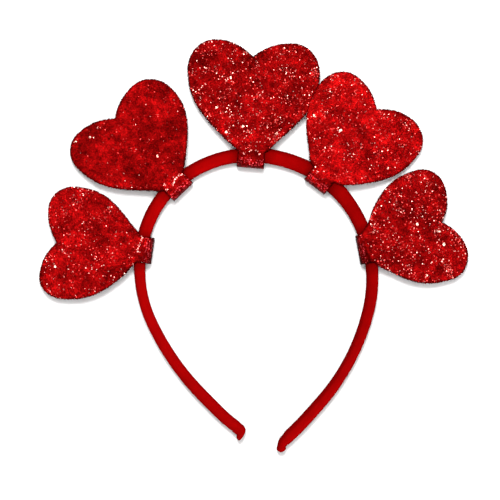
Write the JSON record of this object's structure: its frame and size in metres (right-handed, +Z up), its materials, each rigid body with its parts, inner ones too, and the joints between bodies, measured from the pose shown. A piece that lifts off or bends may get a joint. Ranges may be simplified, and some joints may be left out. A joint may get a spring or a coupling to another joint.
{
  "type": "glitter heart headband",
  "caption": "Thin velvet covered headband lying flat, open at the tips, with a fan of glitter foam hearts whose folded tabs wrap round the crown; worn on the head as a costume headpiece.",
  "frame": {"origin": "middle of the underside of the whole headband as it lies on its back", "axes": "+Z up, out of the glitter faces; +X across the hoop to the right; +Y from the open tips to the crown"},
  "size_m": [0.214, 0.2068, 0.0117],
  "materials": {
    "velvet": "short pile velvet",
    "glitter_foam": "foam sheet coated with coarse red glitter"
  },
  "bodies": {
    "root": {"band": "velvet", "end_fold_left": "velvet", "end_fold_right": "velvet", "heart_left_lower": "glitter_foam", "heart_left_upper": "glitter_foam", "heart_centre": "glitter_foam", "heart_right_upper": "glitter_foam", "heart_right_lower": "glitter_foam"}
  },
  "joints": []
}
